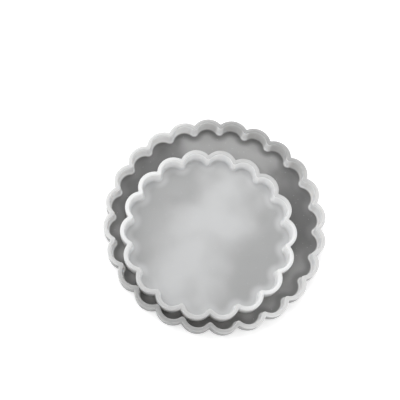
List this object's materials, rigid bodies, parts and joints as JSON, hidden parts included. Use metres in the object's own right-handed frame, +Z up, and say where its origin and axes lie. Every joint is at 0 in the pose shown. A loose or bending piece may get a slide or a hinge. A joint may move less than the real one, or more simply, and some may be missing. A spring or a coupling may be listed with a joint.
{
  "type": "resin casting mould",
  "caption": "Nested scalloped round tray moulds in translucent silicone rubber, open on top, for casting resin trays and coasters.",
  "frame": {"origin": "centre of the large mould's flat underside, on the surface it stands on", "axes": "+Z up, out of the open side; +X and +Y each point along a lobe crest of the large mould; the small mould is pushed over towards -Y"},
  "size_m": [0.2, 0.2, 0.0186],
  "materials": {
    "silicone": "translucent milky silicone rubber, satin walls and a smooth glossy cavity"
  },
  "bodies": {
    "large_mould": {"large_mould": "silicone"},
    "small_mould": {"small_mould": "silicone"}
  },
  "joints": [
    {"name": "small_mould_lift", "type": "slide", "parent": "large_mould", "child": "small_mould", "axis": [0, 0, 1], "range_m": [0, 0.05]}
  ]
}
